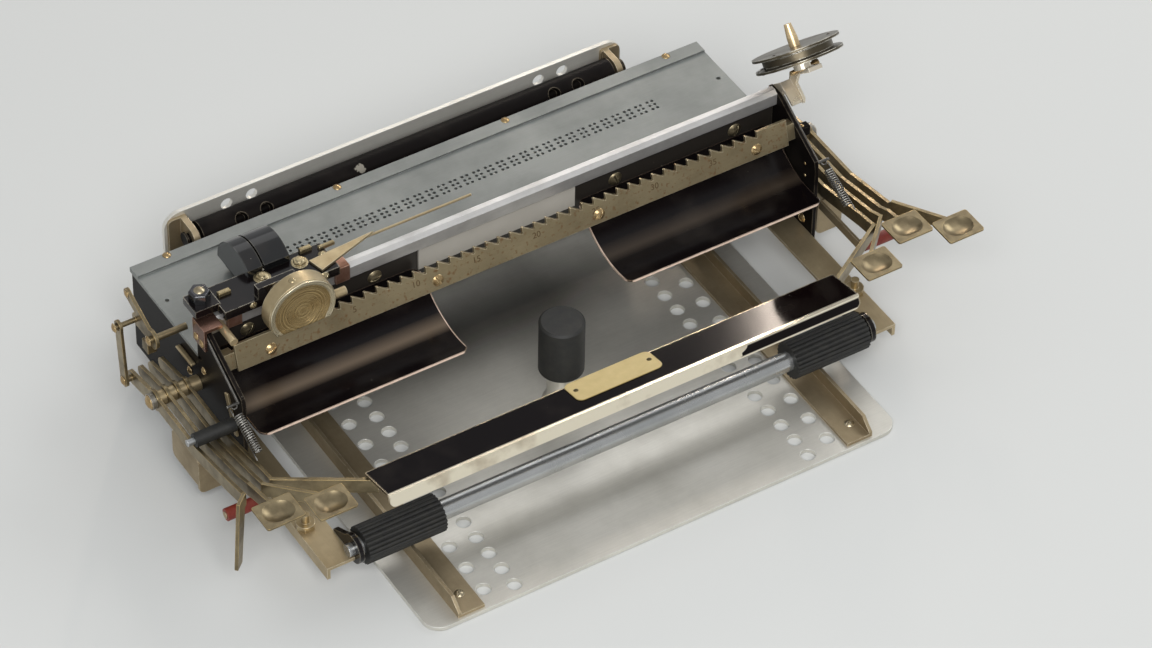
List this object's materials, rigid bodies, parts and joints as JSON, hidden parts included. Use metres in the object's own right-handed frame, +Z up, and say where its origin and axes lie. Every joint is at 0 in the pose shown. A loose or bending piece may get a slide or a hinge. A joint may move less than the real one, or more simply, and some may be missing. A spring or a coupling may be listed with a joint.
{
  "type": "braillewriter",
  "caption": "Manual braille writing machine with finger keys, a space bar and a toothed carriage rack, rolling line by line over a perforated paper board.",
  "frame": {"origin": "middle of the underside of the board, on the surface it stands on", "axes": "+X along the writing line to the right, +Y away from the operator, +Z up"},
  "size_m": [0.3691, 0.235, 0.114],
  "materials": {
    "alu": "satin",
    "plate": "satin",
    "tan": "tarnished",
    "brass": "satin",
    "copper": "tarnished",
    "black": "gloss",
    "panel": "satin",
    "rubber": "matt",
    "red": "matt",
    "steel": "satin"
  },
  "bodies": {
    "base": {"board": "alu", "rail_left": "tan", "rail_right": "tan", "grip_post": "alu", "grip_cap": "rubber", "roller_bracket_left": "tan", "roller_bracket_right": "tan"},
    "paper_roller": {"paper_roller": "black"},
    "frame": {"top_plate": "plate", "matrix_bar": "steel", "front_wall": "black", "wall_panel": "panel", "carriage_rail": "alu", "ratchet_rack": "tan", "chute_left": "black", "chute_right": "black", "side_plate_left": "black", "side_plate_right": "black", "arm_left": "tan", "arm_right": "tan", "lugs_left": "black", "lugs_right": "black", "lever_shaft": "steel", "rear_tie": "steel", "spacers": "brass", "stop_post_left": "tan", "stop_post_right": "tan", "red_sleeves": "red", "guard_left": "tan", "guard_right": "tan", "rest_pin": "steel", "rest_sleeve": "rubber", "spring_wires": "steel", "rail_stop": "copper", "stop_screws": "brass", "pulley_bracket": "steel", "crank_stud": "steel", "space_spring_left": "steel", "space_spring_right": "steel"},
    "front_roller": {"front_rod": "alu", "roll_left": "rubber", "roll_right": "rubber"},
    "rear_roller": {"rear_roller": "steel"},
    "key_l1": {"key_l1": "tan"},
    "key_l2": {"key_l2": "tan"},
    "key_l3": {"key_l3": "tan"},
    "key_r1": {"key_r1": "tan"},
    "key_r2": {"key_r2": "tan"},
    "key_r3": {"key_r3": "tan"},
    "space": {"space_bar": "black", "space_lever_left": "tan", "space_lever_right": "tan"},
    "carriage": {"carriage_body": "black", "hump": "black", "barrel": "brass", "carriage_shoes": "copper", "pointer": "brass"},
    "pulley": {"pulley": "steel"},
    "link": {"link": "tan"},
    "crank": {"crank": "tan"}
  },
  "joints": [
    {"name": "paper_roller_spin", "type": "hinge", "parent": "base", "child": "paper_roller", "pos_m": [0, 0.106, 0.046], "axis": [1, 0, 0], "continuous": true},
    {"name": "frame_slide", "type": "slide", "parent": "base", "child": "frame", "axis": [0, 1, 0], "range_m": [-0.0424, 0]},
    {"name": "front_roller_spin", "type": "hinge", "parent": "frame", "child": "front_roller", "pos_m": [0, -0.0721, 0.019], "axis": [1, 0, 0], "range_deg": [-5, 292]},
    {"name": "rear_roller_spin", "type": "hinge", "parent": "frame", "child": "rear_roller", "pos_m": [0, 0.08, 0.019], "axis": [1, 0, 0], "range_deg": [-5, 292]},
    {"name": "key_l1_press", "type": "hinge", "parent": "frame", "child": "key_l1", "pos_m": [0, 0.0332, 0.0366], "axis": [1, 0, 0], "range_deg": [0, 8], "stiffness_Nm_per_rad": 0.3, "springref_deg": -20.05},
    {"name": "key_l2_press", "type": "hinge", "parent": "frame", "child": "key_l2", "pos_m": [0, 0.0332, 0.0366], "axis": [1, 0, 0], "range_deg": [0, 8], "stiffness_Nm_per_rad": 0.3, "springref_deg": -20.05},
    {"name": "key_l3_press", "type": "hinge", "parent": "frame", "child": "key_l3", "pos_m": [0, 0.0332, 0.0366], "axis": [1, 0, 0], "range_deg": [0, 8], "stiffness_Nm_per_rad": 0.3, "springref_deg": -20.05},
    {"name": "key_r1_press", "type": "hinge", "parent": "frame", "child": "key_r1", "pos_m": [0, 0.0332, 0.0366], "axis": [1, 0, 0], "range_deg": [0, 8], "stiffness_Nm_per_rad": 0.3, "springref_deg": -20.05},
    {"name": "key_r2_press", "type": "hinge", "parent": "frame", "child": "key_r2", "pos_m": [0, 0.0332, 0.0366], "axis": [1, 0, 0], "range_deg": [0, 8], "stiffness_Nm_per_rad": 0.3, "springref_deg": -20.05},
    {"name": "key_r3_press", "type": "hinge", "parent": "frame", "child": "key_r3", "pos_m": [0, 0.0332, 0.0366], "axis": [1, 0, 0], "range_deg": [0, 8], "stiffness_Nm_per_rad": 0.3, "springref_deg": -20.05},
    {"name": "space_press", "type": "hinge", "parent": "frame", "child": "space", "pos_m": [0, 0.0332, 0.0366], "axis": [1, 0, 0], "range_deg": [0, 6], "stiffness_Nm_per_rad": 0.8, "springref_deg": -22.92, "deforming": ["space_spring_left", "space_spring_right"]},
    {"name": "carriage_slide", "type": "slide", "parent": "frame", "child": "carriage", "axis": [1, 0, 0], "range_m": [0, 0.2135]},
    {"name": "pulley_spin", "type": "hinge", "parent": "frame", "child": "pulley", "pos_m": [0.1535, 0.0237, 0.0979], "axis": [0, 0.6601, 0.7511], "continuous": true},
    {"name": "link_swing", "type": "hinge", "parent": "key_l1", "child": "link", "pos_m": [-0.1725, 0.0542, 0.0326], "axis": [1, 0, 0], "range_deg": [-9, 0]},
    {"name": "crank_turn", "type": "hinge", "parent": "frame", "child": "crank", "pos_m": [-0.163, 0.0422, 0.063], "axis": [1, 0, 0], "range_deg": [0, 12.5]}
  ],
  "couplings": [
    {"joint": "front_roller_spin", "follows": "frame_slide", "rad_per_m": -113.64},
    {"joint": "rear_roller_spin", "follows": "frame_slide", "rad_per_m": -113.64},
    {"joint": "link_swing", "follows": "key_l1_press", "ratio": -1},
    {"joint": "crank_turn", "follows": "key_l1_press", "ratio": 1.4725}
  ]
}
